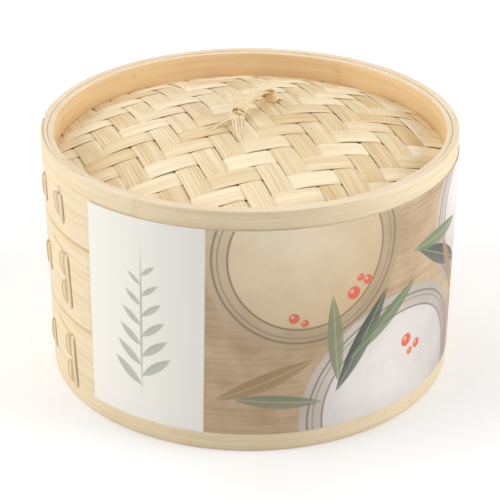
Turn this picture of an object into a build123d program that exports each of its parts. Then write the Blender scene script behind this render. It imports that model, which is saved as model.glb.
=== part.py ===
from build123d import *

import os
from math import atan2, ceil, cos, degrees, hypot, radians, sin, sqrt

# A bamboo steamer: two stacking baskets, a woven lid and a paper sleeve round the front.
# Millimetres, +Z up, front towards -Y, origin at the centre of the base.
# Angles round the wall are in degrees from +X, counter-clockwise seen from above.

# Hoops, each bent from one strip of bamboo
outer_radius = 100.0
outer_hoop_thickness = 3.0
inner_hoop_thickness = 2.9
hoop_fit = 0.1
edge_bevel = 1.0
edge_round = 0.8
basket_height = 43.4
lid_height = 36.2

# The tongue of a basket's inner hoop that the next tier drops over
nest_height = 5.0
nest_clearance = 0.4
nest_headroom = 1.0

# The long scarf where the two ends of an outer hoop overlap
lap_end_angle = 178.0
lap_span = 42.0
lap_tip = 0.8
lap_gap = 0.2

# The floor of a basket: a ledge ring, two bearers halved into it, and slats on top
bearer_height = 5.0
bearer_width = 14.0
bearer_spacing = 90.0
bearer_tongue = 3.0
notch_clearance = 0.15
slat_thickness = 3.0
slat_width = 14.0
slat_pitch = 20.0
slat_round = 0.6
slat_end_chord = 12.0
floor_end_clearance = 0.2

# Bamboo pins
bearer_pin_diameter = 1.8
bearer_pin_depth = 12.0
hoop_pin_diameter = 2.4
hoop_pin_drop = 14.3
hoop_pin_angles = (-110.0, -50.0, 10.0, 70.0, 130.0)
lid_low_pin_height = 14.0
lid_high_pin_drop = 6.1
lid_high_pin_angles = (10.0, 70.0, 130.0)

# Cane lacing that ties the scarf of each outer hoop
front_lacing_angles = {"lower": -147.0, "upper": -147.6, "lid": -149.4}
rear_lacing_angle = -163.0
bar_width = 3.4
bar_round = 1.5
strand_width = 2.2
strand_proud = 1.2
strand_groove = 0.8
leg_diameter = 2.2
bow_reach = 7.5
front_lacing_low = 6.6
front_lacing_drop = 8.6
front_bows = 2
rear_lacing_low = 14.6
rear_lacing_drop = 15.1
rear_bows = 1
lid_lacing_low = 8.0
lid_lacing_drop = 15.1
lid_bows = 1

# The domed panel of the lid: a two-over, two-under twill of split bamboo
dome_rise = 15.7
dome_edge_drop = 14.0
inner_rim_drop = 0.6
weave_angle = 19.6
warp_pitch = 11.4
weft_pitch = 11.0
warp_offset = 2.75
weft_offset = -6.95
strip_gap = 1.2
strip_thickness = 0.7
layer_gap = 0.1
riser_width = 0.6
panel_seat_gap = 0.05
least_strip = 2.0

# The handle: a strap arched over the dome, tied through two corners of the weave
handle_corners = ((2, 3), (-1, 0))
arch_span = 32.0
arch_rise = 9.5
strap_width = 6.0
strap_thickness = 2.2
strap_overhang = 1.6
tie_leg_diameter = 1.0
tie_bar_diameter = 1.8
tie_clearance = 0.15

# The printed paper sleeve
sleeve_start_angle = -136.1
sleeve_length = 350.0
sleeve_low = 9.8
sleeve_drop = 9.2
sleeve_thickness = 0.3
sleeve_clearance = 0.3

# How far a cutting shape runs past the face that it cuts
cut_margin = 1.0

# Radii and levels that follow from the sizes above
hoop_bore = outer_radius - outer_hoop_thickness
seat_radius = hoop_bore - hoop_fit
clear_radius = seat_radius - inner_hoop_thickness
nest_radius = hoop_bore - nest_clearance
recess_height = nest_height + nest_headroom
bearer_top = recess_height + bearer_height
floor_top = bearer_top + slat_thickness
floor_radius = hoop_bore - floor_end_clearance
upper_base = basket_height
lid_base = 2 * basket_height
rim_top = lid_base + lid_height
front_lacing_length = basket_height - front_lacing_low - front_lacing_drop
rear_lacing_length = basket_height - rear_lacing_low - rear_lacing_drop
lid_lacing_length = lid_height - lid_lacing_low - lid_lacing_drop
sleeve_height = rim_top - sleeve_drop - sleeve_low

# The dome's top surface is part of a sphere that meets the inner hoop below the rim
panel_thickness = 2 * strip_thickness + layer_gap
dome_edge = rim_top - dome_edge_drop
dome_radius = (clear_radius**2 + dome_rise**2) / (2 * dome_rise)
dome_centre = dome_edge + dome_rise - dome_radius
panel_underside = dome_radius - panel_thickness


def polar(radius, angle):
    """Point at a radius and an angle in a horizontal plane."""
    return (radius * cos(radians(angle)), radius * sin(radians(angle)))


def radial_section(angle):
    """Upright plane through the axis: local X runs outwards, local Y up."""
    outwards = (*polar(1, angle), 0)
    return Plane(origin=(0, 0, 0), x_dir=outwards, z_dir=(*polar(1, angle - 90), 0))


def wall_plane(angle, radius, height=0.0):
    """Plane that touches a cylinder: local X runs round the wall, local Y up, local Z outwards."""
    return Plane(
        origin=(*polar(radius, angle), height),
        x_dir=(*polar(1, angle + 90), 0),
        z_dir=(*polar(1, angle), 0),
    )


def dome_height(sphere_radius, radius):
    """Height of a sphere round the dome's centre, at a distance from the axis."""
    return dome_centre + sqrt(sphere_radius**2 - radius**2)


def write(piece, node):
    """Name a finished piece and write its file."""
    piece.part.label = node
    export_step(piece.part, f"parts/{node}.step")


def lacing_core(angle, low, length, inside, outside):
    """The tie behind the wall and the two legs through it, from an inside to an outside radius."""
    hole_inset = bar_width / 2
    with BuildPart() as core:
        with BuildSketch(wall_plane(angle, inside)):
            with Locations((0, low + length / 2)):
                RectangleRounded(bar_width, length, bar_round)
        extrude(amount=hoop_bore + strand_groove - inside)
        with BuildSketch(wall_plane(angle, inside)):
            with Locations((0, low + hole_inset), (0, low + length - hole_inset)):
                Circle(leg_diameter / 2)
        extrude(amount=outside - inside)
    return core


def lacing(angle, low, length, bows):
    """One strand laced through an outer hoop: a bar with bows beside it, tied behind the wall."""
    outside = outer_radius + strand_proud
    bow_height = length / bows
    with BuildPart() as strand:
        with BuildSketch(wall_plane(angle, hoop_bore)):
            with Locations((0, low + length / 2)):
                RectangleRounded(bar_width, length, bar_round)
            for bow in range(bows):
                foot = low + bow * bow_height
                head = foot + bow_height
                middle = foot + bow_height / 2
                with BuildLine():
                    ThreePointArc((0, foot), (-bow_reach, middle), (0, head))
                    Line((0, head), (0, head - strand_width))
                    ThreePointArc(
                        (0, head - strand_width),
                        (strand_width - bow_reach, middle),
                        (0, foot + strand_width),
                    )
                    Line((0, foot + strand_width), (0, foot))
                make_face()
        extrude(amount=outside - hoop_bore)
        with BuildSketch(Plane.XY):
            Circle(outside)
            Circle(outer_radius, mode=Mode.SUBTRACT)
        extrude(amount=rim_top, mode=Mode.INTERSECT)
        add(lacing_core(angle, low, length, hoop_bore + tie_clearance, outer_radius + strand_proud / 2).part)
    return strand


def lacing_cut(angle, low, length):
    """What a strand's holes and groove take out of its outer hoop."""
    return lacing_core(angle, low, length, hoop_bore - cut_margin, outer_radius + cut_margin)


def basket_strands(tier, base):
    """The two strands of a basket by side: angle, lowest level, length and number of bows."""
    return {
        "front": (front_lacing_angles[tier], base + front_lacing_low, front_lacing_length, front_bows),
        "rear": (rear_lacing_angle, base + rear_lacing_low, rear_lacing_length, rear_bows),
    }


def lid_strands():
    """The two strands of the lid by side: angle, lowest level, length and number of bows."""
    place = (lid_base + lid_lacing_low, lid_lacing_length, lid_bows)
    return {"front": (front_lacing_angles["lid"], *place), "rear": (rear_lacing_angle, *place)}


def write_lacings(tier, strands):
    """Write the strands of a tier, and return what they take out of its outer hoop."""
    for side, strand in strands.items():
        write(lacing(*strand), f"{tier}_lacing_{side}")
    return [lacing_cut(angle, low, length) for angle, low, length, _ in strands.values()]


def wall_pins(angles, height, margin=0.0):
    """Pins driven through an outer hoop and the hoop inside it, flush or past both faces by a margin."""
    with BuildPart() as pins:
        for angle in angles:
            with BuildSketch(wall_plane(angle, clear_radius / 2, height)):
                Circle(hoop_pin_diameter / 2)
            extrude(amount=outer_radius)
        with BuildSketch(Plane.XY):
            Circle(outer_radius + margin)
            Circle(clear_radius - margin, mode=Mode.SUBTRACT)
        extrude(amount=rim_top, mode=Mode.INTERSECT)
    return pins


def bearer_pins(base, margin=0.0):
    """Pins through the outer hoop along each bearer, flush with the hoop or past it by a margin."""
    level = base + bearer_top - bearer_tongue / 2
    bearer_end = sqrt(floor_radius**2 - (bearer_spacing / 2) ** 2)
    with BuildPart() as pins:
        for facing in (Plane.XZ, Plane.XZ.rotated((0, 0, 180))):
            with BuildSketch(facing.offset(bearer_end - bearer_pin_depth)):
                with Locations(*[(place, level) for place in bearer_places().values()]):
                    Circle(bearer_pin_diameter / 2)
            extrude(amount=outer_radius)
        with BuildSketch(Plane.XY):
            Circle(outer_radius + margin)
        extrude(amount=rim_top, mode=Mode.INTERSECT)
    return pins


def outer_hoop(base, height, cuts):
    """Outer wall with bevelled edges, cut by its scarf and by the holes for what passes through it."""
    gap_angle = degrees(lap_gap / outer_radius)
    inner_end = lap_end_angle + lap_span
    lap_middle = lap_end_angle + lap_span / 2
    middle_radius = (outer_radius + hoop_bore) / 2
    with BuildPart() as hoop:
        with BuildSketch(Plane.XZ):
            with Locations((middle_radius, base + height / 2)):
                profile = Rectangle(outer_hoop_thickness, height)
            chamfer(profile.vertices(), edge_bevel)
        revolve(axis=Axis.Z)
        with BuildSketch(Plane.XY.offset(base)):
            with BuildLine():
                start = polar(outer_radius + lap_tip, lap_end_angle)
                outer_tip = polar(outer_radius - lap_tip, lap_end_angle)
                inner_tip = polar(hoop_bore + lap_tip, inner_end + gap_angle)
                inner_exit = polar(hoop_bore - lap_tip, inner_end + gap_angle)
                inner_return = polar(hoop_bore - lap_tip, inner_end)
                inner_step = polar(hoop_bore + lap_tip - lap_gap, inner_end)
                outer_step = polar(outer_radius - lap_tip - lap_gap, lap_end_angle - gap_angle)
                finish = polar(outer_radius + lap_tip, lap_end_angle - gap_angle)
                Line(start, outer_tip)
                ThreePointArc(outer_tip, polar(middle_radius, lap_middle), inner_tip)
                Polyline(inner_tip, inner_exit, inner_return, inner_step)
                ThreePointArc(inner_step, polar(middle_radius - lap_gap, lap_middle), outer_step)
                Polyline(outer_step, finish, start)
            make_face()
        extrude(amount=height, mode=Mode.SUBTRACT)
        for cut in cuts:
            add(cut.part, mode=Mode.SUBTRACT)
    return hoop


def bearer_places():
    """Distance of each bearer from the middle, by name."""
    return {"left": -bearer_spacing / 2, "right": bearer_spacing / 2}


def slat_places():
    """Distances of the slats from the middle that leave a useful length inside the hoop."""
    widest = sqrt(floor_radius**2 - (slat_end_chord / 2) ** 2) - slat_width / 2
    side = int(widest / slat_pitch)
    return [slat_pitch * step for step in range(-side, side + 1)]


def basket(tier, base):
    """Make and write every piece of one basket."""
    lacing_cuts = write_lacings(tier, basket_strands(tier, base))
    pin_level = base + basket_height - hoop_pin_drop
    write(wall_pins(hoop_pin_angles, pin_level), f"{tier}_hoop_pins")
    write(bearer_pins(base), f"{tier}_bearer_pins")

    pin_cut = wall_pins(hoop_pin_angles, pin_level, cut_margin)
    wall = outer_hoop(base, basket_height, [*lacing_cuts, pin_cut, bearer_pins(base, cut_margin)])
    write(wall, f"{tier}_outer_hoop")

    with BuildPart() as inner_hoop:
        with BuildSketch(Plane.XZ):
            with BuildLine():
                Polyline(
                    (clear_radius, base + floor_top),
                    (seat_radius, base + floor_top),
                    (seat_radius, base + basket_height),
                    (nest_radius, base + basket_height),
                    (nest_radius, base + basket_height + nest_height),
                    (clear_radius, base + basket_height + nest_height),
                    close=True,
                )
            tongue = make_face()
            fillet(tongue.vertices().group_by(Axis.Y)[-1], edge_round)
        revolve(axis=Axis.Z)
        add(pin_cut.part, mode=Mode.SUBTRACT)
    write(inner_hoop, f"{tier}_inner_hoop")

    with BuildPart() as base_ring:
        with BuildSketch(Plane.XY.offset(base + recess_height)):
            Circle(seat_radius)
            Circle(clear_radius, mode=Mode.SUBTRACT)
        extrude(amount=bearer_height)
        with BuildSketch(Plane.XY.offset(base + bearer_top - bearer_tongue)):
            with Locations(*[(place, 0) for place in bearer_places().values()]):
                Rectangle(bearer_width + 2 * notch_clearance, 2 * outer_radius)
        extrude(amount=bearer_tongue, mode=Mode.SUBTRACT)
    write(base_ring, f"{tier}_base_ring")

    for side, place in bearer_places().items():
        with BuildPart() as bearer:
            with BuildSketch(Plane.XY.offset(base + bearer_top)):
                with Locations((place, 0)):
                    Rectangle(bearer_width, 2 * outer_radius)
                Circle(floor_radius, mode=Mode.INTERSECT)
            extrude(amount=-bearer_tongue)
            with BuildSketch(Plane.XY.offset(base + recess_height)):
                with Locations((place, 0)):
                    Rectangle(bearer_width, 2 * outer_radius)
                Circle(clear_radius - notch_clearance, mode=Mode.INTERSECT)
            extrude(amount=bearer_height)
            add(bearer_pins(base).part, mode=Mode.SUBTRACT)
        write(bearer, f"{tier}_bearer_{side}")

    for number, place in enumerate(slat_places(), start=1):
        with BuildPart() as slat:
            with BuildSketch(Plane.XY.offset(base + bearer_top)):
                with Locations((0, place)):
                    Rectangle(2 * outer_radius, slat_width)
                Circle(floor_radius, mode=Mode.INTERSECT)
            extrude(amount=slat_thickness)
            long_edges = slat.edges().filter_by(Axis.X)
            fillet(long_edges.group_by(Axis.Z)[-1], slat_round)
        write(slat, f"{tier}_slat_{number}")


def strip_centre(number, pitch, offset):
    """Distance of a strip from the middle of the panel."""
    return offset + number * pitch


def strip_numbers(pitch, offset):
    """Numbers of the strips that reach inside the inner hoop by a useful width."""
    reach = clear_radius - least_strip + (pitch - strip_gap) / 2
    first = ceil((-reach - offset) / pitch)
    last = int((reach - offset) // pitch)
    return range(first, last + 1)


def woven_strip(number, along_weft):
    """One strip of the panel, going over two of the crossing strips and under the next two."""
    weft = (weft_pitch, weft_offset)
    warp = (warp_pitch, warp_offset)
    own, other = (weft, warp) if along_weft else (warp, weft)
    width = own[0] - strip_gap
    across = strip_centre(number, *own)
    # The first crossing that a strip goes over moves on by one with each strip
    first_over = number + (1.5 if along_weft else 0.5)
    repeats = ceil(outer_radius / (4 * other[0])) + 1
    over = [strip_centre(first_over % 4 + 4 * turn, *other) for turn in range(-repeats, repeats + 1)]
    under = [place + 2 * other[0] for place in over]
    run = 2 * other[0] - riser_width
    slant = Plane.XY.rotated((0, 0, weave_angle + (0 if along_weft else 90)))
    beside = across if along_weft else -across
    with BuildPart() as space_under:
        with BuildSketch(slant):
            with Locations(*[(place, beside) for place in over]):
                Rectangle(run, width)
        extrude(amount=rim_top + dome_rise)
        with Locations((0, 0, dome_centre)):
            Sphere(dome_radius - strip_thickness, mode=Mode.INTERSECT)
    with BuildPart() as space_over:
        with BuildSketch(slant):
            with Locations(*[(place, beside) for place in under]):
                Rectangle(run, width)
        extrude(amount=rim_top + dome_rise)
        with Locations((0, 0, dome_centre)):
            Sphere(panel_underside + strip_thickness, mode=Mode.SUBTRACT)
    with BuildPart() as strip:
        with BuildSketch(slant.offset(lid_base)):
            with Locations((0, beside)):
                Rectangle(2 * outer_radius, width)
            Circle(floor_radius, mode=Mode.INTERSECT)
        extrude(amount=lid_height + dome_rise)
        with Locations((0, 0, dome_centre)):
            Sphere(dome_radius, mode=Mode.INTERSECT)
            Sphere(panel_underside, mode=Mode.SUBTRACT)
        add(space_under.part, mode=Mode.SUBTRACT)
        add(space_over.part, mode=Mode.SUBTRACT)
    return strip


def woven_strips(along_weft):
    """All the strips of one direction."""
    layout = (weft_pitch, weft_offset) if along_weft else (warp_pitch, warp_offset)
    with BuildPart() as strips:
        add([woven_strip(number, along_weft).part for number in strip_numbers(*layout)])
    return strips


def corner_place(warp, weft):
    """Where the gap before a warp crosses the gap before a weft, in the panel's plan."""
    along = strip_centre(warp, warp_pitch, warp_offset) - warp_pitch / 2
    across = strip_centre(weft, weft_pitch, weft_offset) - weft_pitch / 2
    return polar(hypot(along, across), degrees(atan2(across, along)) + weave_angle)


def handle_loop():
    """A strap arched over the dome, with thin legs through the weave and a tie bar under it."""
    back, front = [corner_place(*corner) for corner in handle_corners]
    middle = ((back[0] + front[0]) / 2, (back[1] + front[1]) / 2)
    half_tie = hypot(back[0] - front[0], back[1] - front[1]) / 2
    heading = degrees(atan2(back[1] - front[1], back[0] - front[0]))
    crest = dome_height(dome_radius, 0)
    side = Plane(
        origin=(*middle, crest), x_dir=(*polar(1, heading), 0), z_dir=(*polar(1, heading - 90), 0)
    )
    half_span = arch_span / 2
    foot_end = half_tie + strap_overhang
    inner_rise = arch_rise - strap_thickness
    sunk = strap_thickness + dome_rise * (foot_end / clear_radius) ** 2
    tie_top = dome_height(panel_underside, half_tie + hypot(*middle)) - tie_clearance
    tie_middle = tie_top - tie_bar_diameter / 2
    with BuildPart() as handle:
        with BuildSketch(side):
            with BuildLine():
                ThreePointArc((half_span, 0), (0, arch_rise), (-half_span, 0))
                Line((-half_span, 0), (strap_thickness - half_span, 0))
                ThreePointArc(
                    (strap_thickness - half_span, 0), (0, inner_rise), (half_span - strap_thickness, 0)
                )
                Line((half_span - strap_thickness, 0), (half_span, 0))
            make_face()
            for end in (-1, 1):
                with BuildLine():
                    Polyline(
                        (end * (half_span - strap_thickness), strap_thickness / 2),
                        (end * foot_end, strap_thickness - sunk),
                        (end * foot_end, -2 * sunk),
                        (end * (half_span - strap_thickness), -2 * sunk),
                        close=True,
                    )
                make_face()
        extrude(amount=strap_width / 2, both=True)
        with Locations((0, 0, dome_centre)):
            Sphere(dome_radius + panel_seat_gap, mode=Mode.SUBTRACT)
        with BuildSketch(Plane.XY.offset(tie_middle)):
            with Locations(back, front):
                Circle(tie_leg_diameter / 2)
        extrude(amount=crest - tie_middle)
        with BuildSketch(Plane(origin=(*front, tie_middle), z_dir=(*polar(1, heading), 0))):
            Circle(tie_bar_diameter / 2)
        extrude(amount=2 * half_tie)
    return handle


def lid():
    """Make and write every piece of the lid."""
    lacing_cuts = write_lacings("lid", lid_strands())
    pin_rows = (
        (hoop_pin_angles, lid_base + lid_low_pin_height),
        (lid_high_pin_angles, rim_top - lid_high_pin_drop),
    )
    with BuildPart() as hoop_pins:
        add([wall_pins(*row).part for row in pin_rows])
    write(hoop_pins, "lid_hoop_pins")

    low_pin_cut, high_pin_cut = [wall_pins(*row, cut_margin) for row in pin_rows]
    wall = outer_hoop(lid_base, lid_height, [*lacing_cuts, low_pin_cut, high_pin_cut])
    write(wall, "lid_outer_hoop")

    # The two inner hoops grip the edge of the panel between them
    seat_middle = (clear_radius + seat_radius) / 2
    under = panel_underside - panel_seat_gap
    over = dome_radius + panel_seat_gap
    with BuildPart() as lower_inner_hoop:
        with BuildSketch(Plane.XZ):
            with BuildLine():
                ThreePointArc(
                    (clear_radius, dome_height(under, clear_radius)),
                    (seat_middle, dome_height(under, seat_middle)),
                    (seat_radius, dome_height(under, seat_radius)),
                )
                Polyline(
                    (seat_radius, dome_height(under, seat_radius)),
                    (seat_radius, lid_base + recess_height),
                    (clear_radius, lid_base + recess_height),
                    (clear_radius, dome_height(under, clear_radius)),
                )
            make_face()
        revolve(axis=Axis.Z)
        add(low_pin_cut.part, mode=Mode.SUBTRACT)
    write(lower_inner_hoop, "lid_lower_inner_hoop")

    with BuildPart() as upper_inner_hoop:
        with BuildSketch(Plane.XZ):
            with BuildLine():
                ThreePointArc(
                    (clear_radius, dome_height(over, clear_radius)),
                    (seat_middle, dome_height(over, seat_middle)),
                    (seat_radius, dome_height(over, seat_radius)),
                )
                Polyline(
                    (seat_radius, dome_height(over, seat_radius)),
                    (seat_radius, rim_top - inner_rim_drop),
                    (clear_radius, rim_top - inner_rim_drop),
                    (clear_radius, dome_height(over, clear_radius)),
                )
            rim = make_face()
            fillet(rim.vertices().group_by(Axis.Y)[-1], edge_round)
        revolve(axis=Axis.Z)
        add(high_pin_cut.part, mode=Mode.SUBTRACT)
    write(upper_inner_hoop, "lid_upper_inner_hoop")

    write(woven_strips(along_weft=False), "lid_warp_strips")
    write(woven_strips(along_weft=True), "lid_weft_strips")
    write(handle_loop(), "lid_handle_loop")


def sleeve():
    """Make and write the paper sleeve, curved round the front of the stack."""
    inside = outer_radius + sleeve_clearance
    with BuildPart() as paper:
        with BuildSketch(radial_section(sleeve_start_angle)):
            with Locations((inside + sleeve_thickness / 2, sleeve_low + sleeve_height / 2)):
                Rectangle(sleeve_thickness, sleeve_height)
        revolve(axis=Axis.Z, revolution_arc=degrees(sleeve_length / inside))
    write(paper, "paper_sleeve")


os.makedirs("parts", exist_ok=True)
basket("lower", 0.0)
basket("upper", upper_base)
lid()
sleeve()
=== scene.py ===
from math import cos, degrees, pi, radians, sin, sqrt

import bmesh
import bpy
import numpy as np
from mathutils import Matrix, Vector


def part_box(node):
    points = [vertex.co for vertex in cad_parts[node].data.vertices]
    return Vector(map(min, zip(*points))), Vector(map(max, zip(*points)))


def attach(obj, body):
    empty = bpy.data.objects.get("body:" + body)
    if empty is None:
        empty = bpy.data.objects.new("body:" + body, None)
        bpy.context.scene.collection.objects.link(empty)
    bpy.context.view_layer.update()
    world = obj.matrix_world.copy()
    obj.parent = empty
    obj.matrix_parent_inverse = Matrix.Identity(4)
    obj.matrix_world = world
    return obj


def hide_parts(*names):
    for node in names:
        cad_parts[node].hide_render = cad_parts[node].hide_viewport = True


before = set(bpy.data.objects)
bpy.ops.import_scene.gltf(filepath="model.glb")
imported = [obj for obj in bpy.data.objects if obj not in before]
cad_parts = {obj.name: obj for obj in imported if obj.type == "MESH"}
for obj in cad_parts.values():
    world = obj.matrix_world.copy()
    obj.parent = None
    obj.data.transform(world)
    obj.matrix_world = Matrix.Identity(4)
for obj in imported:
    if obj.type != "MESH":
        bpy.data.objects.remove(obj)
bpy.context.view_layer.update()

# A bamboo steamer in its studio picture: hoops, weave, handle, lacing and paper get their fine form here.
# Metres, +Z up, front towards -Y. Angles round the wall are in degrees from +X.
mm = 0.001
chance = np.random.default_rng(41)

# Hoops
outer_radius = 100.0 * mm
hoop_bore = 97.0 * mm
seat_radius = 96.9 * mm
clear_radius = 94.0 * mm
nest_radius = 96.6 * mm
corner_round = 0.5 * mm
seam_round = 1.35 * mm
seam_gap = 0.12 * mm
angle_step = 0.75
lap_end_angle = 178.0
lap_span = 42.0
lap_tip = 0.8 * mm
lap_gap = 0.15 * mm
lap_lead = 1.0
lap_fade = 2.0
corner_steps = 4
round_limit = 0.45
wall_wobble = 0.1 * mm
edge_wobble = 0.16 * mm

# The woven panel of the lid
dome_rise = 15.7 * mm
dome_edge_drop = 14.0 * mm
panel_thickness = 1.5 * mm
weave_angle = radians(19.6)
warp_layout = (11.4 * mm, 2.75 * mm)
weft_layout = (11.0 * mm, -6.95 * mm)
strip_width = 10.5 * mm
strip_thickness = 0.5 * mm
weave_depth = 0.5 * mm
weave_sharpness = 3.2
strip_crown = 0.16 * mm
float_crown = 0.12 * mm
panel_reach = 96.2 * mm
panel_margin = 0.4 * mm
least_showing = 2.0 * mm
lower_hoop_gap = 0.3 * mm
upper_hoop_sink = 0.35 * mm
weave_step = 0.9 * mm
least_rows = 8
twill_repeat = 4
weft_shift = 1.5
warp_shift = 0.5
place_scatter = 0.18 * mm
width_scatter = 0.25 * mm
slant_scatter = 0.0025
grain_shift = (0.37, 0.11)
tone_middle = 0.06
tone_scatter = 0.1
dark_tone = 0.38
dark_share = 0.22

# A woven strip's section: shares of its half width, and of its thickness above its middle there
strip_side = np.array([-1.0, -0.94, -0.6, -0.2, 0.2, 0.6, 0.94, 1.0])
strip_edge = np.array([0.1, 0.42, 0.5, 0.5, 0.5, 0.5, 0.42, 0.1])

# The handle
handle_back = 1.5 * mm
strap_points = 100
winding_points = 60
winding_thickness = 0.7 * mm
winding_rise = 0.3 * mm
split_points = 36
splinter_points = 24
split_thickness = 0.6

# Lacing of the scarfs
front_lacing_angles = {"lower": -147.0, "upper": -147.6, "lid": -149.4}
rear_lacing_angle = -163.0
bar_width = 3.0 * mm
bar_thickness = 1.5 * mm
bar_proud = 0.25 * mm
bar_lean = 0.8 * mm
bar_dive = 0.8 * mm
bar_dive_length = 1.1 * mm
bar_sway = 0.2 * mm
bar_sway_turn = 7.0
bar_sway_start = 6.0
bar_points = 48
# The slot round the bar is a low dark cushion on the wall: painted shade of the slot
slot_left = 2.4 * mm
slot_right = 1.0 * mm
slot_margin = 0.35 * mm
slot_rise = 0.3 * mm
slot_end_width = 0.1
slot_end_power = 10
strand_width = 1.0 * mm
strand_proud = 0.3 * mm
basket_bows = {"front": 2, "rear": 1}
bow_reach = 6.4 * mm
bow_rise = {"front": 0.65 * mm, "rear": 1.4 * mm}
bow_scatter = 0.05
bow_sag = 0.6 * mm
bow_fullness = 0.7
bow_dive_length = 1.3 * mm
bow_points = 60
cushion_sink = 0.6 * mm
cushion_points = 13
cushion_power = 6
tail_width = 0.55 * mm
tail_thickness = 0.44 * mm
tail_proud = 0.1375 * mm
tail_dive_share = 0.12
tail_points = 30
basket_tails = ((-20.0 * mm, 4.4 * mm),)
lid_tails = ((-1.6 * mm, 4.6 * mm), (0.5 * mm, -3.0 * mm))

# The paper sleeve
sleeve_start_angle = -136.1
sleeve_lean = radians(1.4)
sleeve_length = 350.0 * mm
sleeve_thickness = 0.3 * mm
sleeve_clearance = 0.3 * mm
sleeve_columns = 260
sleeve_rows = 24
start_lift = 0.35 * mm
start_lift_length = 6.0 * mm
end_lift = 0.5 * mm
end_lift_length = 10.0 * mm
sleeve_wave = 0.05 * mm
sleeve_wave_turn = 23.0
sleeve_wave_start = 1.0
bare_margin = 60.4 * mm

# Grain of bamboo and paper: noise scales per metre, along and across the fibres
streak_grain = (9.0, 260.0)
fine_grain = (22.0, 1900.0)
cloud_grain = (28.0, 40.0)
vessel_grain = (75.0, 1500.0)
drift_grain = (9.0, 170.0)
shake_grain = (60.0, 170.0)
grit_grain = (900.0, 700.0)
mottle_grain = (60.0, 60.0)
ground_grain = (14.0, 420.0)
pulp_grain = (500.0, 500.0)

# Fibre lines and joints of the bamboo, and the depth and shine of the surfaces
lines_per_metre = 690.0
line_drift = 2.6
toned_streak = 0.45
joint_shake = 2.2 * mm
joint_reach = 3.6 * mm
joint_depth = 0.55
wall_joints = {"lid": 420.0 * mm, "lower": 560.0 * mm, "upper": 390.0 * mm}
inside_joint = 105.0 * mm
bamboo_bump = 0.07 * mm
paper_bump = 0.02 * mm
specular_level = 0.35

# Camera and light
camera_place = (0.0, -0.679, 0.4081)
camera_pitch = 0.4827
camera_lens = 109.96
camera_sensor = 36.0
left_place = (-1.27, -0.2, 0.6)
left_power = 12.8
right_place = (1.27, -0.2, 0.6)
right_power = 13.8
top_place = (-0.15, 0.3, 1.35)
top_power = 5.5
light_size = 1.1
light_aim = (0.0, 0.0, 0.07)
sky_level = 0.41
floor_half = 4.0
floor_roughness = 0.9
floor_tone = 0.78
floor_glow = 0.2
near_floor = 0.3
far_floor = 1.5


def levels(node):
    """Lowest and highest level of a CAD piece."""
    low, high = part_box(node)
    return low.z, high.z


rim_top = levels("lid_outer_hoop")[1]
dome_radius = (clear_radius**2 + dome_rise**2) / (2 * dome_rise)
dome_centre = rim_top - dome_edge_drop + dome_rise - dome_radius
panel_middle = dome_radius - panel_thickness / 2


def linear(red, green, blue):
    """Linear colour from screen values of 0 to 255."""
    values = [value / 255 for value in (red, green, blue)]
    curve = [value / 12.92 if value <= 0.04045 else ((value + 0.055) / 1.055) ** 2.4 for value in values]
    return (*curve, 1.0)


class Nodes:
    """Short ways to add shader nodes to one material."""

    def __init__(self, name):
        self.material = bpy.data.materials.new(name)
        self.material.use_nodes = True
        self.tree = self.material.node_tree
        self.shader = self.tree.nodes["Principled BSDF"]

    def add(self, kind, inputs=(), **settings):
        node = self.tree.nodes.new(kind)
        for name, value in settings.items():
            setattr(node, name, value)
        for socket, value in dict(inputs).items():
            self.put(node.inputs[socket], value)
        return node

    def put(self, socket, value):
        """Link a socket to another one, or set its value."""
        if isinstance(value, bpy.types.NodeSocket):
            self.tree.links.new(value, socket)
        else:
            socket.default_value = value

    def math(self, operation, *values):
        return self.add("ShaderNodeMath", dict(enumerate(values)), operation=operation).outputs[0]

    def mix(self, factor, first, second):
        node = self.add("ShaderNodeMix", data_type="RGBA")
        self.put(node.inputs["Factor"], factor)
        self.put(node.inputs[6], first)
        self.put(node.inputs[7], second)
        return node.outputs[2]

    def ramp(self, value, low, high, to_low=0.0, to_high=1.0):
        inputs = {"Value": value, "From Min": low, "From Max": high, "To Min": to_low, "To Max": to_high}
        return self.add("ShaderNodeMapRange", inputs).outputs[0]

    def grain(self, place, scale, detail=2.0, roughness=0.5):
        """Noise stretched along the fibres; the scale is per metre along and across them."""
        along, across = scale
        inputs = {0: place, 1: (along, across, across)}
        stretched = self.add("ShaderNodeVectorMath", inputs, operation="MULTIPLY").outputs[0]
        inputs = {"Vector": stretched, "Scale": 1.0, "Detail": detail, "Roughness": roughness}
        return self.add("ShaderNodeTexNoise", inputs).outputs[0]

    def finish(self, colour, roughness, height, distance):
        bump = self.add("ShaderNodeBump", {"Strength": 1.0, "Distance": distance, "Height": height})
        self.put(self.shader.inputs["Base Color"], colour)
        self.put(self.shader.inputs["Roughness"], roughness)
        self.put(self.shader.inputs["Normal"], bump.outputs[0])
        self.shader.inputs["Specular IOR Level"].default_value = specular_level
        return self.material


def strip_coordinates(nodes, layout):
    """Vector whose X runs along the fibres and Y across them, in metres."""
    source = nodes.add("ShaderNodeTexCoord")
    if layout == "strip":
        return source.outputs["UV"]
    parts = nodes.add("ShaderNodeSeparateXYZ", {0: source.outputs["Object"]}).outputs
    if layout == "ring":
        turn = nodes.math("ARCTAN2", parts[1], parts[0])
        along = nodes.math("MULTIPLY", turn, outer_radius)
        across = parts[2]
    elif layout == "along x":
        along, across = parts[0], nodes.math("ADD", parts[1], parts[2])
    else:
        along, across = parts[1], nodes.math("ADD", parts[0], parts[2])
    return nodes.add("ShaderNodeCombineXYZ", {0: along, 1: across, 2: parts[2]}).outputs[0]


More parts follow.
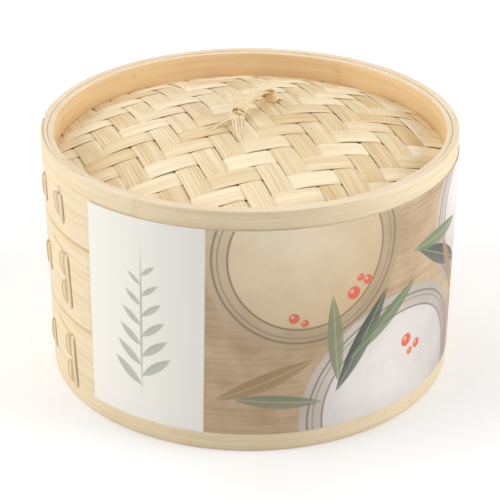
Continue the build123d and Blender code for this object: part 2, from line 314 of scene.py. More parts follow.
def bamboo(
    name, pale, deep, fibre, layout="strip", fibre_depth=0.3, fleck_depth=0.25, joint=None, toned=False,
    lines=0.0,
):
    """Split bamboo: long soft streaks, fine fibre lines, short dark vessels and the mark of a joint."""
    nodes = Nodes(name)
    place = strip_coordinates(nodes, layout)
    along, across, _ = nodes.add("ShaderNodeSeparateXYZ", {0: place}).outputs
    streak = nodes.grain(place, streak_grain, 3.0, 0.6)
    fine = nodes.grain(place, fine_grain, 2.0, 0.6)
    cloud = nodes.grain(place, cloud_grain)
    vessel = nodes.grain(place, vessel_grain, 1.0)

    blend = nodes.ramp(streak, 0.35, 0.68)
    blend = nodes.math("ADD", blend, nodes.ramp(cloud, 0.35, 0.7, -0.2, 0.25))
    if toned:
        tone = nodes.add("ShaderNodeAttribute", attribute_name="tone").outputs["Fac"]
        blend = nodes.math("ADD", nodes.math("MULTIPLY", blend, toned_streak), tone)
    blend = nodes.math("MINIMUM", nodes.math("MAXIMUM", blend, 0.0), 1.0)
    colour = nodes.mix(blend, pale, deep)
    colour = nodes.mix(nodes.ramp(fine, 0.48, 0.72, 0.0, fibre_depth), colour, fibre)
    colour = nodes.mix(nodes.ramp(vessel, 0.62, 0.74, 0.0, fleck_depth), colour, fibre)

    height = nodes.math("SUBTRACT", fine, nodes.ramp(vessel, 0.6, 0.75, 0.0, 0.5))
    if lines:
        drift = nodes.math("MULTIPLY", nodes.grain(place, drift_grain, 1.0), line_drift)
        phase = nodes.math("ADD", nodes.math("MULTIPLY", across, lines_per_metre), drift)
        comb = nodes.math("ABSOLUTE", nodes.math("SUBTRACT", nodes.math("FRACT", phase), 0.5))
        strength = nodes.ramp(streak, 0.35, 0.6, 0.35, 1.0)
        line = nodes.math("MULTIPLY", nodes.ramp(comb, 0.36, 0.48), strength)
        colour = nodes.mix(nodes.math("MULTIPLY", line, lines), colour, fibre)
        height = nodes.math("SUBTRACT", height, line)
    if joint is not None:
        shake = nodes.ramp(nodes.grain(place, shake_grain), 0.3, 0.7, -joint_shake, joint_shake)
        grit = nodes.ramp(nodes.grain(place, grit_grain), 0.5, 0.66)
        shaken = nodes.math("ADD", along, shake)
        distance = nodes.math("ABSOLUTE", nodes.math("SUBTRACT", shaken, joint))
        band = nodes.ramp(distance, 0.0, joint_reach, joint_depth, 0.0)
        mark = nodes.math("MULTIPLY", band, grit)
        colour = nodes.mix(nodes.math("MULTIPLY", band, joint_depth), colour, deep)
        colour = nodes.mix(mark, colour, fibre)
        height = nodes.math("SUBTRACT", height, mark)
    roughness = nodes.ramp(fine, 0.3, 0.7, 0.46, 0.62)
    return nodes.finish(colour, roughness, height, bamboo_bump)


wall_tones = (linear(237, 220, 188), linear(227, 206, 167), linear(190, 158, 114))
walls = {}
for tier, place in wall_joints.items():
    walls[tier] = bamboo(f"{tier} wall bamboo", *wall_tones, joint=place)
cut_edge = bamboo("cut edge bamboo", linear(240, 226, 201), linear(229, 208, 174), linear(190, 156, 112))
# A deeper tone for the rounded seam edges of the outer hoops: painted shade in the seams between the tiers
seam_edge_shade = bamboo("seam edge shade bamboo", linear(236, 214, 178), linear(222, 194, 150), linear(186, 150, 104))
inside_skin = bamboo(
    "inner face bamboo", linear(238, 208, 163), linear(225, 192, 143), linear(180, 140, 92),
    fibre_depth=0.16, fleck_depth=0.1, joint=inside_joint,
)
weave_split = bamboo(
    "woven bamboo", linear(245, 230, 196), linear(216, 183, 131), linear(170, 128, 76),
    fibre_depth=0.3, fleck_depth=0.2, toned=True, lines=0.55,
)
weave_skin = bamboo(
    "woven smooth bamboo", linear(248, 234, 202), linear(219, 187, 136), linear(190, 152, 102),
    fibre_depth=0.12, fleck_depth=0.1, toned=True, lines=0.14,
)
cane = bamboo("lacing cane", linear(233, 213, 181), linear(216, 189, 148), linear(182, 148, 104))
# A darker cane for the thin strands that outline the bows and for the tails: partly the cane's own edge
# tone, partly a painted shadow line
cane_edge_and_shadow = bamboo("lacing cane edge and shadow", linear(214, 188, 148), linear(194, 164, 122), linear(160, 126, 86))
# The dark colour of the slot under the bar: painted shade
slot_shade = bamboo("lacing slot shade", linear(178, 146, 106), linear(154, 122, 84), linear(126, 96, 62))
strap = bamboo(
    "handle strap", linear(242, 222, 184), linear(222, 192, 144), linear(166, 124, 76), fibre_depth=0.45
)
# A darker copy of the strap for its underside: partly the strip's inner face, partly painted shade under the
# strap
strap_under_and_shade = bamboo("handle underside and shade", linear(218, 188, 134), linear(190, 152, 94), linear(142, 106, 62))
split_end = bamboo("split end", linear(242, 225, 190), linear(226, 201, 156), linear(176, 138, 90))
slat_bamboo = bamboo("slat bamboo", *wall_tones, layout="along x")
bearer_bamboo = bamboo("bearer bamboo", *wall_tones, layout="along y")
ring_bamboo = bamboo("ledge bamboo", *wall_tones, layout="ring")
pin_bamboo = bamboo(
    "pin bamboo", linear(228, 200, 154), linear(208, 174, 124), linear(190, 158, 114), layout="along x"
)


class Shape:
    """Skins rows of closed sections and makes one mesh of them."""

    def __init__(self):
        self.points = []
        self.faces = []
        self.uvs = []
        self.kinds = []
        self.tones = []
        self.count = 0

    def skin(self, sections, along, around, kinds=None, closed=False, tone=0.0):
        """Skin sections of shape (rows, points, 3); along and around are lengths for the texture."""
        rows, sides, _ = sections.shape
        spans = rows if closed else rows - 1
        row, side = np.meshgrid(np.arange(spans), np.arange(sides), indexing="ij")
        corners = ((0, 0), (1, 0), (1, 1), (0, 1))
        index = [self.count + (row + r) % rows * sides + (side + s) % sides for r, s in corners]
        self.faces += np.stack(index, -1).reshape(-1, 4).tolist()
        uv = [np.stack([along[row + r], around[side + s]], -1) for r, s in corners]
        self.uvs.append(np.stack(uv, -2).reshape(-1, 2))
        kinds = np.zeros(sides, int) if kinds is None else np.asarray(kinds)
        self.kinds += np.tile(kinds, spans).tolist()
        if not closed:
            for end, start in ((0, 0), (-1, (rows - 1) * sides)):
                self.faces.append([self.count + start + s for s in range(sides)])
                self.uvs.append(np.stack([np.full(sides, along[end]), around[:sides]], -1))
                self.kinds.append(int(kinds[0]))
        self.points.append(sections.reshape(-1, 3))
        self.tones.append(np.full(rows * sides, tone))
        self.count += rows * sides

    def make(self, name, materials, crease=40.0):
        mesh = bpy.data.meshes.new(name)
        mesh.from_pydata(np.concatenate(self.points).tolist(), [], self.faces)
        mesh.uv_layers.new(name="strip").data.foreach_set("uv", np.concatenate(self.uvs).ravel())
        mesh.attributes.new("tone", "FLOAT", "POINT").data.foreach_set("value", np.concatenate(self.tones))
        for material in materials:
            mesh.materials.append(material)
        mesh.polygons.foreach_set("material_index", self.kinds)
        mesh.polygons.foreach_set("use_smooth", [True] * len(self.faces))
        whole = bmesh.new()
        whole.from_mesh(mesh)
        bmesh.ops.recalc_face_normals(whole, faces=whole.faces)
        whole.to_mesh(mesh)
        whole.free()
        mesh.set_sharp_from_angle(angle=radians(crease))
        piece = bpy.data.objects.new(name, mesh)
        bpy.context.scene.collection.objects.link(piece)
        return piece


def show(piece, body, slot, *nodes):
    """Let a new piece ride its body in place of CAD nodes."""
    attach(piece, body)
    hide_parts(*nodes)


def waves(turn, size, count=7):
    """Slow seeded ripple round a hoop, the same after one whole turn."""
    ripple = np.zeros_like(turn)
    for order in range(2, 2 + count):
        ripple += chance.normal() / order * np.sin(order * turn + chance.uniform(0, 2 * pi))
    return size * ripple


def hoop_sections(turn, inside, outside, low, high, rounds=(corner_round,) * 4):
    """Round-cornered sections of a bent strip; low and high are levels at its inner and outer face."""
    rounds = [np.minimum(size, round_limit * (outside - inside)) for size in rounds]
    corners = (
        (outside - rounds[0], low[1] + rounds[0], -90),
        (outside - rounds[1], high[1] - rounds[1], 0),
        (inside + rounds[2], high[0] - rounds[2], 90),
        (inside + rounds[3], low[0] + rounds[3], 180),
    )
    radius, level = [], []
    for corner, (middle, height, start) in zip(rounds, corners):
        for step in range(corner_steps + 1):
            angle = radians(start + 90 / corner_steps * step)
            radius.append(middle + corner * cos(angle))
            level.append(height + corner * sin(angle))
    radius = np.stack(radius, -1)
    level = np.stack(level, -1)
    sections = np.stack([radius * np.cos(turn)[:, None], radius * np.sin(turn)[:, None], level], -1)
    middle_row = len(turn) // 2
    steps = np.hypot(np.diff(radius[middle_row], append=radius[middle_row, 0]),
                     np.diff(level[middle_row], append=level[middle_row, 0]))
    around = np.concatenate([[0], np.cumsum(steps)])
    return sections, around


# Which material each side of a hoop's section takes: 0 outside, 1 cut edges, 2 inside, 3 rounded seam edges,
# which on the outer hoops take a deeper tone of painted shade
inner_kinds = [1] * (corner_steps + 1) + [2] + [1] * (corner_steps + 1)
hoop_kinds = [3] * corner_steps + [0] + [3] * corner_steps + inner_kinds
lid_kinds = [3] * corner_steps + [0] + [1] * corner_steps + inner_kinds


def outer_hoop(node, body, wall):
    """One strip wound a little over a turn, thinned where its ends overlap."""
    low, high = levels(node)
    turned = np.arange(0.0, 360 + lap_span + angle_step / 2, angle_step)
    turn = np.radians(turned + lap_end_angle)
    ripple = waves(turn, wall_wobble)
    top = high - edge_wobble + waves(turn, edge_wobble)
    foot = low if low < seam_gap else low + seam_gap
    thickness = outer_radius - hoop_bore
    tip_angles = (0, lap_span, lap_span + lap_fade)
    inside = hoop_bore + np.interp(turned, tip_angles, (thickness - lap_tip, lap_tip, 0.0))
    tail_angles = (360 - lap_lead - lap_fade, 360 - lap_lead, 360 + lap_span)
    tail_depths = (0.0, lap_tip + lap_gap, thickness - lap_tip + lap_gap)
    outside = outer_radius - np.interp(turned, tail_angles, tail_depths)
    is_lid = node.startswith("lid")
    rounds = (seam_round, corner_round if is_lid else seam_round, corner_round, corner_round)
    sections, around = hoop_sections(turn, inside, outside + ripple, (foot, foot), (top, top), rounds)
    shape = Shape()
    shape.skin(sections, turn * outer_radius, around, lid_kinds if is_lid else hoop_kinds)
    materials = (wall, cut_edge, inside_skin, seam_edge_shade)
    show(shape.make(f"{node}_strip", materials), body, "hoop_bamboo", node)


def inner_hoop(node, body, outside, low, high):
    """A closed ring inside the wall; low and high are levels at its inner and outer face."""
    turn = np.radians(np.arange(0.0, 360.0, angle_step))
    ripple = waves(turn, wall_wobble)
    top_wave = waves(turn, edge_wobble) - edge_wobble
    full = np.full_like(turn, outside)
    sections, around = hoop_sections(
        turn, clear_radius + ripple, full, low, (high[0] + top_wave, high[1] + top_wave)
    )
    shape = Shape()
    along = np.append(turn, 2 * pi) * outer_radius
    shape.skin(sections, along, around, hoop_kinds, closed=True)
    piece = shape.make(f"{node}_strip", (cut_edge, cut_edge, inside_skin, cut_edge))
    show(piece, body, "inner_hoop_bamboo", node)


outer_hoop("lower_outer_hoop", "lower_basket", walls["lower"])
outer_hoop("upper_outer_hoop", "upper_basket", walls["upper"])
outer_hoop("lid_outer_hoop", "lid", walls["lid"])
for tier in ("lower", "upper"):
    floor_level, tongue_level = levels(f"{tier}_inner_hoop")
    inner_hoop(
        f"{tier}_inner_hoop", f"{tier}_basket", nest_radius, (floor_level,) * 2, (tongue_level,) * 2
    )


def dome_level(sphere, radius):
    """Height of a sphere round the dome's centre, at a distance from the axis."""
    return dome_centre + sqrt(sphere**2 - radius**2)


hoop_faces = (clear_radius, seat_radius)
lower_foot = (levels("lid_lower_inner_hoop")[0],) * 2
lower_top = [dome_level(dome_radius - panel_thickness, radius) - lower_hoop_gap for radius in hoop_faces]
upper_foot = [dome_level(dome_radius, radius) - upper_hoop_sink for radius in hoop_faces]
upper_top = (levels("lid_upper_inner_hoop")[1],) * 2
inner_hoop("lid_lower_inner_hoop", "lid", seat_radius, lower_foot, lower_top)
inner_hoop("lid_upper_inner_hoop", "lid", seat_radius, upper_foot, upper_top)


def on_dome(along, across, offset):
    """Point over the panel's plan, lifted from the middle of the panel along the dome's normal."""
    x = along * cos(weave_angle) - across * sin(weave_angle)
    y = along * sin(weave_angle) + across * cos(weave_angle)
    z = np.sqrt(panel_middle**2 - x**2 - y**2)
    scale = 1 + offset / panel_middle
    return np.stack([x * scale, y * scale, dome_centre + z * scale], -1)


def weave_wave(place, layout, first_over):
    """1 where a strip runs over the crossing ones, -1 where it runs under, and smooth between."""
    pitch, offset = layout
    phase = (place - offset - pitch * first_over) * 2 * pi / (twill_repeat * pitch)
    return np.tanh(weave_sharpness * np.cos(phase)) / np.tanh(weave_sharpness)


def woven_strip(shape, number, own, other, first_over, swap, tone):
    """One crowned strip that goes over two crossing strips and under the next two."""
    pitch, offset = own
    centre = offset + number * pitch + chance.normal(0, place_scatter)
    width = strip_width + chance.normal(0, width_scatter) + (pitch - weft_layout[0])
    limit = panel_reach - panel_margin
    near = max(centre - width / 2, -limit)
    far = min(centre + width / 2, limit)
    across = (near + far) / 2 + strip_side * (far - near) / 2
    crown = strip_crown * (1 - strip_side**2)
    top = strip_thickness * strip_edge + crown
    under = -strip_thickness * strip_edge + crown
    across = np.concatenate([across, across[::-1]])
    lift = np.concatenate([top, under[::-1]])
    half = np.sqrt(panel_reach**2 - across**2)
    rows = max(int(2 * half.max() / weave_step), least_rows)
    share = np.linspace(-1, 1, rows)
    along = share[:, None] * half[None, :]
    slant = chance.normal(0, slant_scatter)
    beside = across[None, :] + slant * along
    wave = weave_wave(along, other, first_over)
    offset_here = weave_depth * wave + lift[None, :] + float_crown * np.maximum(wave, 0) ** 3
    first, second = (beside, along) if swap else (along, beside)
    length = share * half.max() + grain_shift[0] * number
    around = np.concatenate([across, across[:1]]) + grain_shift[1] * number
    shape.skin(on_dome(first, second, offset_here), length, around, tone=tone)


def panel(node, own, other, shift, swap, material):
    """All the strips of one direction."""
    pitch, offset = own
    reach = clear_radius - least_showing + strip_width / 2
    first = int(np.ceil((-reach - offset) / pitch))
    last = int(np.floor((reach - offset) / pitch))
    shape = Shape()
    for number in range(first, last + 1):
        tone = chance.normal(tone_middle, tone_scatter)
        if chance.random() < dark_share:
            tone += dark_tone
        woven_strip(shape, number, own, other, number + shift, swap, tone)
    show(shape.make(f"{node}_woven", (material,), crease=60.0), "lid", "split_bamboo", node)


panel("lid_weft_strips", weft_layout, warp_layout, weft_shift, False, weave_skin)
panel("lid_warp_strips", warp_layout, weft_layout, warp_shift, True, weave_split)


def smooth_path(knots, count):
    """Points along a Catmull-Rom curve through the knots."""
    knots = np.asarray(knots, float)
    knots = np.concatenate([[2 * knots[0] - knots[1]], knots, [2 * knots[-1] - knots[-2]]])
    place = np.linspace(0, len(knots) - 3 - 1e-9, count)
    span = place.astype(int)
    t = (place - span)[:, None]
    a, b, c, d = (knots[span + step] for step in range(4))
    return 0.5 * (2 * b + (c - a) * t + (2 * a - 5 * b + 4 * c - d) * t**2 + (3 * b - a - 3 * c + d) * t**3)


def ribbon(shape, path, facing, width, thickness, flatness=0.55, sides=14, kinds=None):
    """A flat strand along a path; facing holds the direction of its broad side at each point."""
    tangent = np.gradient(path, axis=0)
    tangent /= np.linalg.norm(tangent, axis=1)[:, None]
    beside = np.cross(tangent, facing)
    beside /= np.linalg.norm(beside, axis=1)[:, None]
    upwards = np.cross(beside, tangent)
    angle = np.linspace(0, 2 * pi, sides, endpoint=False)
    flat = np.sign(np.cos(angle)) * np.abs(np.cos(angle)) ** flatness
    tall = np.sign(np.sin(angle)) * np.abs(np.sin(angle)) ** flatness
    half_width = np.broadcast_to(np.asarray(width) / 2, len(path))[:, None, None]
    half_thickness = np.broadcast_to(np.asarray(thickness) / 2, len(path))[:, None, None]
    sections = (
        path[:, None, :]
        + beside[:, None, :] * half_width * flat[None, :, None]
        + upwards[:, None, :] * half_thickness * tall[None, :, None]
    )
    along = np.concatenate([[0], np.cumsum(np.linalg.norm(np.diff(path, axis=0), axis=1))])
    around = np.linspace(0, 1, sides + 1) * np.max(width) * 2
    shape.skin(sections, along, around, kinds)


def on_wall(beside, level, proud, angle):
    """Point on an outer hoop: a distance beside an angle, a level, and how far outside the wall."""
    turn = radians(angle) + beside / outer_radius
    radius = outer_radius + proud
    points = np.stack([radius * np.cos(turn), radius * np.sin(turn), level], -1)
    outwards = np.stack([np.cos(turn), np.sin(turn), np.zeros_like(turn)], -1)
    return points, outwards


def cushion(shape, left, right, level, rise, angle, kind):
    """A low cushion on the wall; its left and right edge and its rise are given at each level."""
    across = np.linspace(0, 1, cushion_points)
    beside = left[:, None] + (right - left)[:, None] * across
    from_middle = 2 * across - 1
    edge = from_middle**cushion_power
    swell = rise[:, None] * (1 - edge) - cushion_sink * edge**2
    heights = np.tile(level[:, None], len(across))
    top, _ = on_wall(beside, heights, swell, angle)
    back, _ = on_wall(beside, heights, np.full_like(beside, -cushion_sink), angle)
    sections = np.concatenate([top, back[:, ::-1]], 1)
    around = np.linspace(0, 1, sections.shape[1] + 1) * 4 * bar_width
    shape.skin(sections, level, around, np.full(sections.shape[1], kind))


def lacing(node, body, bows):
    """A cane strand: a bar in its slot with bows to its left, each end diving into the wall. The slot is a
    low dark cushion of painted shade.
    """
    low, high = levels(node)
    tier, _, side = node.split("_")
    angle = front_lacing_angles[tier] if side == "front" else rear_lacing_angle
    shape = Shape()

    # The slot: a dark cushion round the bar, painted shade where the strand dives into the wall
    share = np.linspace(0, 1, bar_points)
    slant = bar_lean * (1 - 2 * share)
    end = np.sqrt(1 - np.abs(2 * share - 1) ** slot_end_power) * (1 - slot_end_width) + slot_end_width
    level = low - slot_margin + share * (high - low + 2 * slot_margin)
    left = slant - end * (bar_width / 2 + slot_left)
    right = slant + end * (bar_width / 2 + slot_right)
    cushion(shape, left, right, level, np.full_like(share, slot_rise), angle, 2)
    from_end = np.minimum(share, 1 - share) * (high - low)
    dive = np.exp(-((from_end / bar_dive_length) ** 2)) * bar_dive
    level = low + share * (high - low)
    beside = slant + bar_sway * np.sin(share * bar_sway_turn + chance.uniform(0, bar_sway_start))
    points, outwards = on_wall(beside, level, bar_proud - dive, angle)
    ribbon(shape, points, outwards, bar_width, bar_thickness, flatness=0.85)

    bow_height = (high - low) / bows
    sweep = np.linspace(0, pi, bow_points)
    from_end = np.minimum(sweep, pi - sweep) * bow_height / 3
    for bow in range(bows):
        middle = low + (bow + 0.5) * bow_height
        reach = bow_reach * (1 + chance.normal(0, bow_scatter))
        sag = chance.normal(0, bow_sag)
        level = middle - (bow_height / 2 - strand_width) * np.cos(sweep) + sag * np.sin(sweep)
        shift = bar_lean * (1 - 2 * (level - low) / (high - low))
        outer = shift - bar_width / 2 - reach * np.sin(sweep) ** bow_fullness
        inner = shift - bar_width / 2 - slot_left
        rise = bow_rise[side] * np.sqrt(np.sin(sweep).clip(0, 1))
        cushion(shape, np.minimum(outer, inner - tail_width / 4), inner, level, rise, angle, 0)
        # The thin outline strand of each bow takes the darker cane: partly its edge tone, partly a painted
        # shadow line
        dive = np.exp(-((from_end / bow_dive_length) ** 2)) * strand_width
        points, outwards = on_wall(outer, level, strand_proud - dive, angle)
        ribbon(shape, points, outwards, strand_width, strand_width, flatness=0.9, sides=8, kinds=[1] * 8)

    # Thin tails that run on from the holes of the front strand
    if side == "rear":
        tails = ()
    elif tier == "lid":
        tails = lid_tails
    else:
        tails = basket_tails
    for reach, rise in tails:
        start = high - bar_width / 4 if rise > 0 else low + bar_width / 4
        share = np.linspace(0, 1, tail_points)
        dive = np.exp(-(((1 - share) / tail_dive_share) ** 2)) * tail_width
        beside = reach * share - np.sign(rise) * bar_lean
        points, outwards = on_wall(beside, start + rise * share, tail_proud - dive, angle)
        ribbon(shape, points, outwards, tail_width, tail_thickness, flatness=0.9, sides=8, kinds=[1] * 8)
    piece = shape.make(f"{node}_cane", (cane, cane_edge_and_shadow, slot_shade), crease=70.0)
    show(piece, body, "lacing_cane", node)


for column in ("front", "rear"):
    lacing(f"lower_lacing_{column}", "lower_basket", basket_bows[column])
    lacing(f"upper_lacing_{column}", "upper_basket", basket_bows[column])
    lacing(f"lid_lacing_{column}", "lid", 1)


def dome_top(x, y):
    """Level of the woven panel's upper face."""
    return dome_level(dome_radius, sqrt(x**2 + y**2))


def over_dome(knots, count):
    """Smooth path through knots in millimetres: place in plan from the handle, and rise over the panel."""
    points = []
    for across, back, rise in knots:
        x, y = across * mm, back * mm + handle_back
        points.append((x, y, dome_top(x, y) + rise * mm))
    return smooth_path(points, count)


def handle():
    """A flat strap that arches over the weave, wound twice and split at its front foot."""
    knots = [
        (10.0, 19.0, -1.2), (9.8, 18.5, 1.2), (8.9, 16.9, 4.4), (5.9, 12.6, 7.3), (1.8, 6.4, 7.7),
        (-1.8, 0.8, 6.6), (-3.8, -2.8, 5.2), (-4.9, -5.0, 4.0), (-5.4, -6.4, 3.2),
    ]
    path = over_dome(knots, strap_points)
    share = np.linspace(0, 1, strap_points)
    heading = path[-1] - path[0]
    heading[2] = 0.0
    across = np.array([-heading[1], heading[0], 0.0]) / np.linalg.norm(heading)
    tangent = np.gradient(path, axis=0)
    tangent /= np.linalg.norm(tangent, axis=1)[:, None]
    lift = np.cross(tangent, across)
    lift *= np.sign(lift[strap_points // 2, 2])
    shape = Shape()

    # Layers: start and end as shares of the path, width, thickness, rise and place beside it in millimetres,
    # and roll at the start, the middle and the end in radians
    layers = (
        (0.0, 1.0, 6.0, 1.2, 0.0, 0.0, (-0.5, 0.1, 0.6)),
        (0.5, 1.0, 4.8, 0.9, 0.9, 0.7, (-0.3, 0.3, 0.8)),
        (0.0, 0.45, 4.4, 0.9, -0.9, -0.8, (-0.6, -0.1, 0.3)),
    )
    # The lower half of each strap section takes the darker underside: partly the inner face, partly painted
    # shade
    under = [0] * 7 + [1] * 7
    for start, end, width, thick, rise, beside, rolls in layers:
        part = (share >= start) & (share <= end)
        here = share[part]
        roll = np.interp(here, (0, 0.5, 1), rolls)[:, None]
        facing = lift[part] * np.cos(roll) + across * np.sin(roll)
        foot_taper = np.interp(here, (start, start + 0.06), (0.55, 1.0))
        taper = foot_taper * np.interp(here, (0.5, 0.7), (1.0, 0.78))
        centre = path[part] + facing * rise * mm + across * beside * mm
        ribbon(shape, centre, facing, width * mm * taper, thick * mm, flatness=0.6, kinds=under)

    # Turns of the strip wound round the strap, near its front foot and over its back foot:
    # share of the path, roll, half width and half height round the strap, pitch and width of the strip
    wind = np.linspace(-0.6 * pi, 1.6 * pi, winding_points)
    cosine = np.cos(wind)[:, None]
    sine = np.sin(wind)[:, None]
    windings = ((0.74, 0.3, 2.9, 1.9, 2.2, 5.6), (0.2, -0.5, 3.6, 2.2, -2.4, 6.6))
    for place_share, roll, wide, tall, pitch, width in windings:
        place = int(place_share * strap_points)
        out = lift[place] * cos(roll) + across * sin(roll)
        side = across * cos(roll) - lift[place] * sin(roll)
        round_strap = cosine * side * wide * mm + sine * out * tall * mm
        creep = (wind / (2 * pi))[:, None] * tangent[place] * pitch * mm
        turn_facing = cosine * side * 0.5 + sine * out
        centre = path[place] + out * winding_rise + round_strap + creep
        ribbon(shape, centre, turn_facing, width * mm, winding_thickness, flatness=0.6)

    up = np.array([0.0, 0.0, 1.0])

    def split(knots, count, width, thinning):
        """A thin split strand over the weave; thinning is its share of width at foot, middle and tip."""
        thread = over_dome(knots, count)
        taper = np.interp(np.linspace(0, 1, count), (0, 0.7, 1), thinning) * width * mm
        facing = np.tile(up, (count, 1))
        ribbon(shape, thread, facing, taper, taper * split_thickness, flatness=0.8, sides=8, kinds=[2] * 8)

    # Split ends that run forward from the foot over the weave: start, end and reach in plan, and width
    splits = (
        (-9.4, -5.4, -26.0, 0.8), (-7.5, -5.0, -28.0, 1.1), (-5.8, -4.4, -29.0, 1.1),
        (-4.1, -3.4, -24.0, 0.8), (-3.2, -1.4, -14.0, 0.7),
    )
    for start, end, reach, width in splits:
        bow = chance.uniform(1.3, 2.2)
        near = start * 0.75 + end * 0.25
        middle = (start + end) / 2
        knots = [
            (start * 0.85, -3.6, 5.0), (start, -7.4, 3.0), (near, -11.5, bow + 0.5),
            (middle, (reach - 11) / 2, bow), (end, reach, 0.5),
        ]
        split(knots, split_points, width, (1.0, 0.9, 0.4))

    # Splinters of the weft beside the foot: reach and place back in plan, lean and width
    splinters = ((-21.0, -15.4, 1.4, 1.2), (-19.5, -18.0, 1.8, 1.2), (-15.5, -13.6, 1.1, 0.8))
    for reach, back, lean, width in splinters:
        knots = [(-7.6, -9.4, 1.2), (-11.0, -10.8, lean + 0.3), (reach, back, 0.5)]
        split(knots, splinter_points, width, (1.0, 0.8, 0.3))

    # The tail behind the back foot
    knots = [(10.2, 19.2, 0.8), (12.0, 20.8, 1.8), (14.2, 22.4, 1.1), (16.0, 23.2, 0.4)]
    tail = over_dome(knots, splinter_points)
    ribbon(shape, tail, np.tile(up, (splinter_points, 1)), 2.6 * mm, 0.9 * mm)
    piece = shape.make("lid_handle_loop_strap", (strap, strap_under_and_shade, split_end), crease=70.0)
    show(piece, "lid", "split_bamboo", "lid_handle_loop")


handle()


